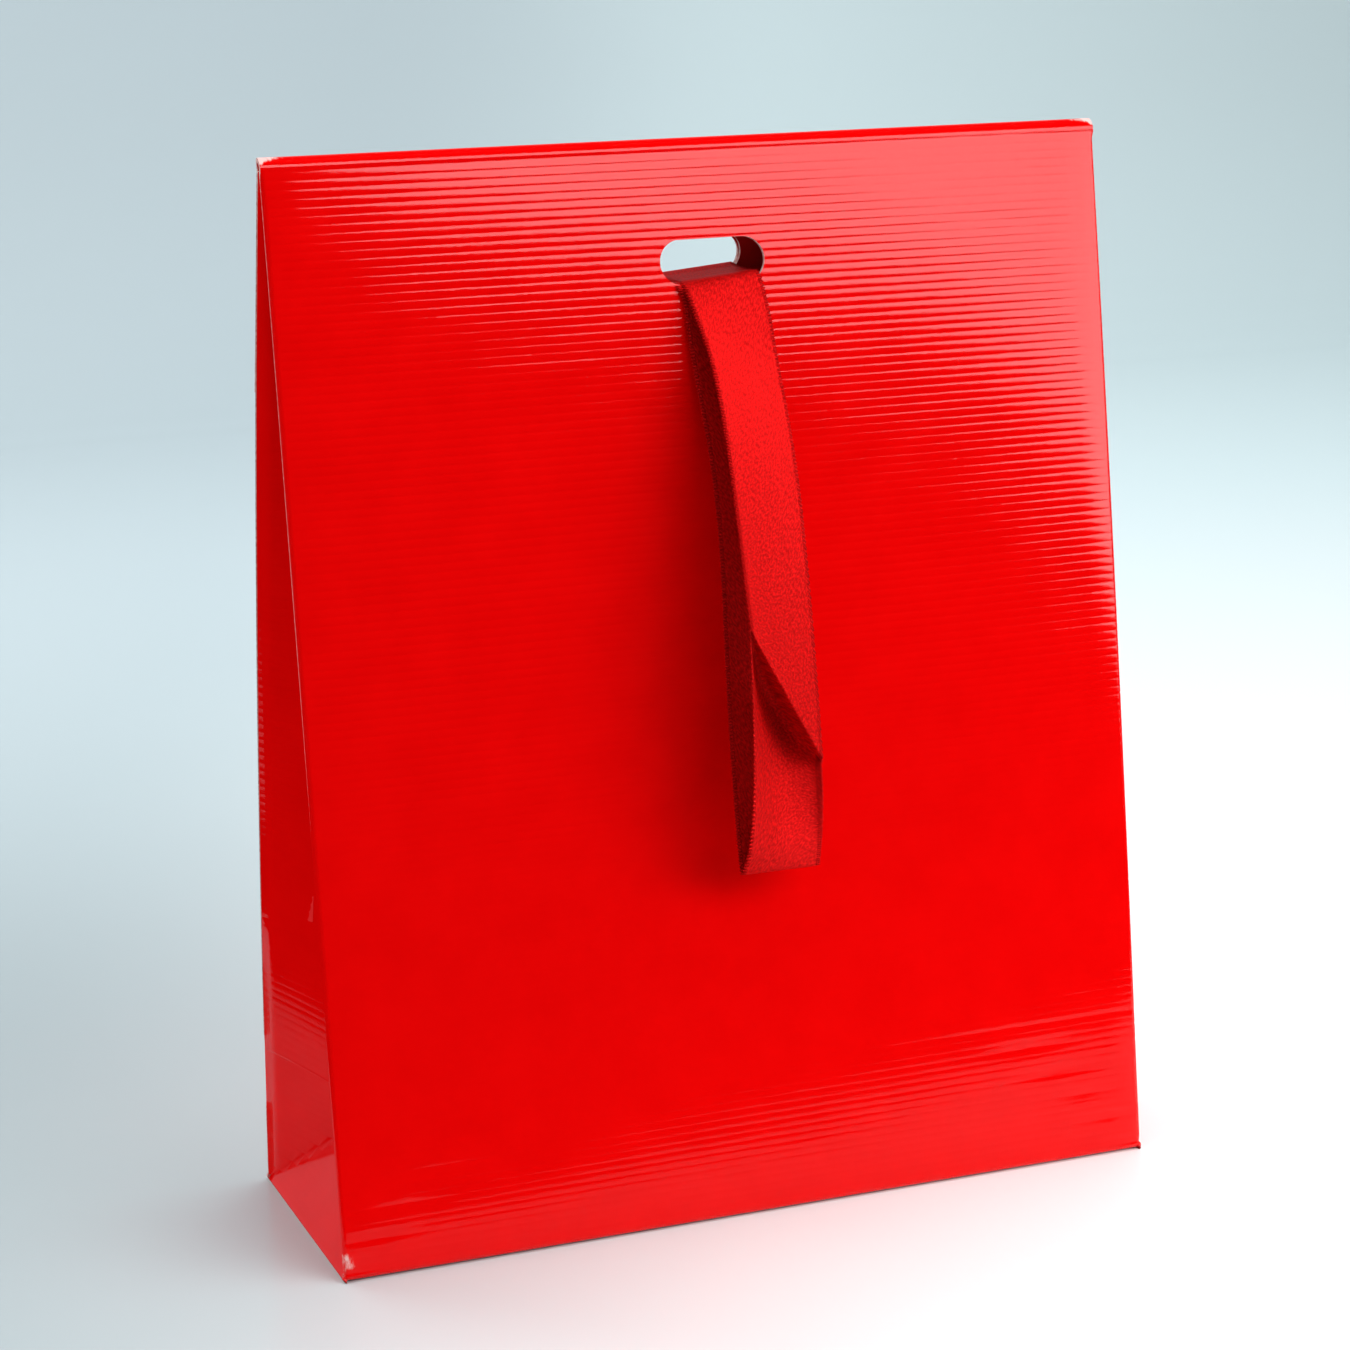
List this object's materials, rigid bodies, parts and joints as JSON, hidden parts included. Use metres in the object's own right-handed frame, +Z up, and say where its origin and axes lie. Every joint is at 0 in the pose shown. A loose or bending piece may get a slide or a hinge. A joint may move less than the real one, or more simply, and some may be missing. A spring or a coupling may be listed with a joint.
{
  "type": "gift bag",
  "caption": "Tent-shaped gift bag of red ribbed card with folded side gussets, a fold-over flap and a satin ribbon looped through its hand slot.",
  "frame": {"origin": "centre of the base's underside, on the surface the bag stands on", "axes": "+Z up, +X to the right seen from the front, the front faces -Y"},
  "size_m": [0.25, 0.0941, 0.306],
  "materials": {
    "ribbed_card": "glossy, fine horizontal ribs",
    "grey_board": "matt, uncoated",
    "satin_ribbon": "satin weave with picot edges"
  },
  "bodies": {
    "bag": {"front_panel": "ribbed_card", "back_panel": "ribbed_card", "top_fold": "ribbed_card", "left_gusset_front": "ribbed_card", "left_gusset_back": "ribbed_card", "left_gusset_foot": "ribbed_card", "right_gusset_front": "ribbed_card", "right_gusset_back": "ribbed_card", "right_gusset_foot": "ribbed_card", "side_seam_tab": "ribbed_card", "bottom_flap_back": "ribbed_card", "bottom_flap_front": "ribbed_card", "bottom_tuck_left": "ribbed_card", "bottom_tuck_right": "ribbed_card", "base_board": "grey_board", "ribbon_throat": "satin_ribbon"},
    "closure_flap": {"closure_flap": "ribbed_card", "ribbon_tails": "satin_ribbon"},
    "ribbon_loop": {"ribbon_loop": "satin_ribbon"}
  },
  "joints": [
    {"name": "flap_lift", "type": "hinge", "parent": "bag", "child": "closure_flap", "pos_m": [0, 0.00395, 0.30245], "axis": [1, 0, 0], "range_deg": [0, 20]},
    {"name": "loop_swing", "type": "hinge", "parent": "bag", "child": "ribbon_loop", "pos_m": [0, -0.0086, 0.267], "axis": [-1, 0, 0], "range_deg": [0, 150]}
  ]
}
